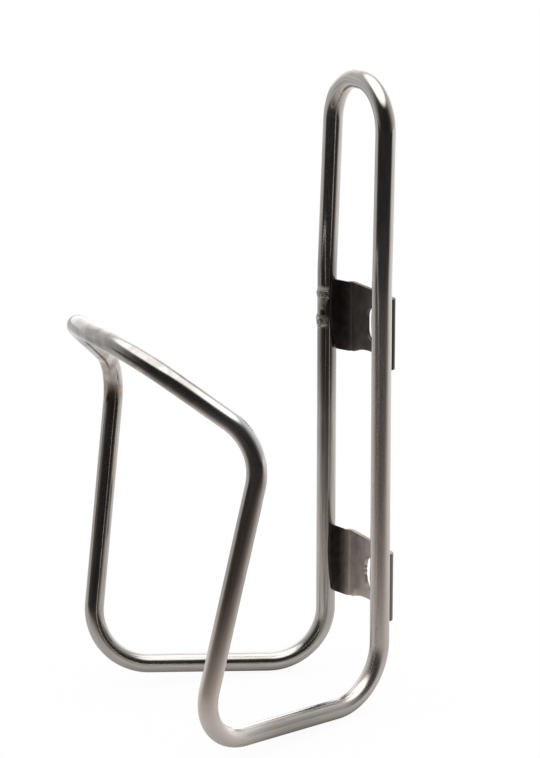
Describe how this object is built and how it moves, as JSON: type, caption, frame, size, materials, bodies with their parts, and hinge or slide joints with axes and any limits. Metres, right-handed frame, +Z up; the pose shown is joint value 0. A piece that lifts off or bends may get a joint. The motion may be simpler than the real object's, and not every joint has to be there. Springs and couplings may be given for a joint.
{
  "type": "water bottle cage",
  "caption": "Bicycle water bottle cage bent from metal tube, with slotted sheet tabs that bolt to the frame's bosses.",
  "frame": {"origin": "midway between the centres of the two bolt slots, on the rear mounting face of the tabs", "axes": "+Z up along the rails, -Y forward from the bicycle frame towards the bottle and nose, +X to the right seen from the bottle's side"},
  "size_m": [0.0798, 0.0769, 0.1546],
  "materials": {
    "tube": "polished, bare metal",
    "sleeve": "drawn tube",
    "weld": "as welded, lightly brushed",
    "tab": "satin, bare metal"
  },
  "bodies": {
    "root": {"tube_loop": "tube", "joint_sleeve": "sleeve", "seam_weld": "weld", "plug_weld": "weld", "upper_tab": "tab", "lower_tab": "tab", "upper_weld_right": "weld", "upper_weld_left": "weld", "lower_weld_right": "weld", "lower_weld_left": "weld"}
  },
  "joints": []
}
